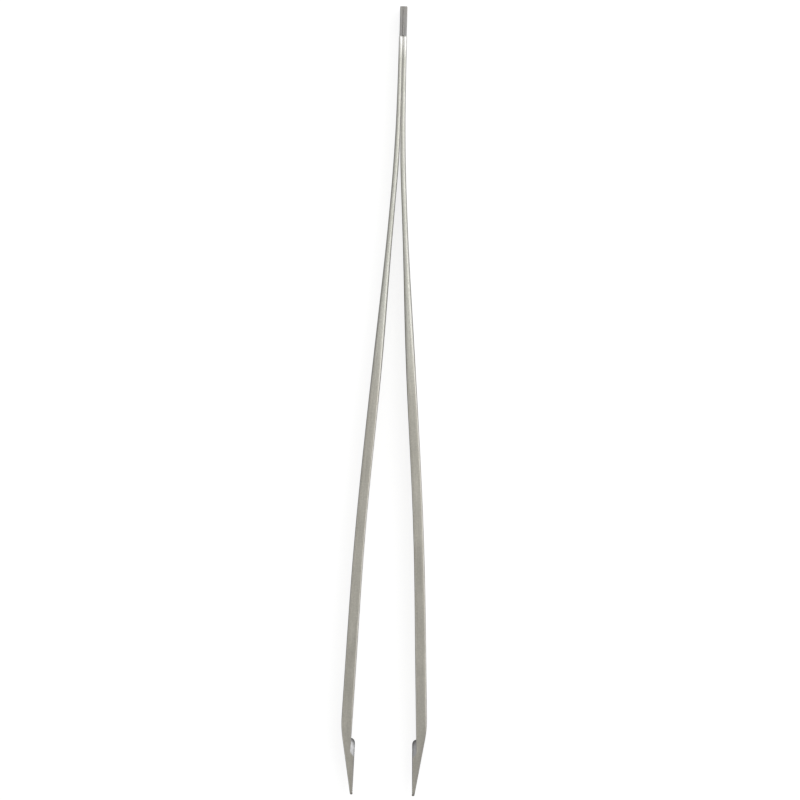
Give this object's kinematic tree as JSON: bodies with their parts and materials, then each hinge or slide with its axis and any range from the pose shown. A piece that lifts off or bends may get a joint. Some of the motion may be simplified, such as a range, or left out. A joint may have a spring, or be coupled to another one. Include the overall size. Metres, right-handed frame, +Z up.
{
  "type": "aquascaping tweezers",
  "caption": "Long straight stainless tweezers with slim spring leaves welded at the head, thick shanks and raised toothed jaw pads for planting stems underwater.",
  "frame": {"origin": "under the middle of the overall box, on the surface that the tweezers lie on", "axes": "+Y along the tweezers to the welded head, X across the opening, +Z up, square to the side that the tweezers lie on"},
  "size_m": [0.0292, 0.27, 0.01],
  "materials": {
    "brushed_steel": "satin, brushed lengthwise",
    "ground_steel": "coarse ground, lengthwise",
    "jaw_steel": "satin, darker at the tips",
    "weld_steel": "weld ground flush, slight heat tint"
  },
  "bodies": {
    "head": {"weld_seam": "weld_steel", "right_tang": "ground_steel", "left_tang": "ground_steel", "right_spring_leaf": "brushed_steel", "left_spring_leaf": "brushed_steel"},
    "right_arm": {"right_shank": "brushed_steel", "right_jaw": "jaw_steel"},
    "left_arm": {"left_shank": "brushed_steel", "left_jaw": "jaw_steel"}
  },
  "joints": [
    {"name": "right_arm_flex", "type": "hinge", "parent": "head", "child": "right_arm", "pos_m": [0.0009, 0.088, 0.005], "axis": [0, 0, -1], "range_deg": [0, 2.6], "stiffness_Nm_per_rad": 8, "deforming": ["right_spring_leaf"]},
    {"name": "left_arm_flex", "type": "hinge", "parent": "head", "child": "left_arm", "pos_m": [-0.0009, 0.088, 0.005], "axis": [0, 0, 1], "range_deg": [0, 2.6], "stiffness_Nm_per_rad": 8, "deforming": ["left_spring_leaf"]}
  ],
  "couplings": [
    {"joint": "left_arm_flex", "follows": "right_arm_flex", "ratio": 1}
  ]
}
